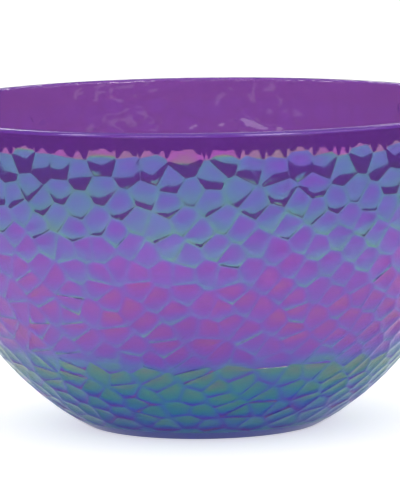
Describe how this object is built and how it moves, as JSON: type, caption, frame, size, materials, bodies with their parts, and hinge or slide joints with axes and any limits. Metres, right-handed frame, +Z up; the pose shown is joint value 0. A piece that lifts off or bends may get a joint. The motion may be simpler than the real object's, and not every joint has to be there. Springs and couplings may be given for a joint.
{
  "type": "bowl",
  "caption": "Deep round pressed-glass bowl with a dimpled outside under an iridescent lustre coat, a smooth inside, a rounded plain lip and a flat foot ring.",
  "frame": {"origin": "middle of the foot ring, on the table plane that the ring stands on", "axes": "+Z up along the bowl's axis; the bowl is round, so X and Y are any two level directions"},
  "size_m": [0.254, 0.254, 0.1405],
  "materials": {
    "violet_glass": "clear violet pressed glass, fire-polished smooth inside and at the lip",
    "lustre": "thin fired metallic lustre that shifts from blue under the rim through pink and gold to green at the foot"
  },
  "bodies": {
    "root": {"glass_bowl": "violet_glass", "lustre_coat": "lustre"}
  },
  "joints": []
}
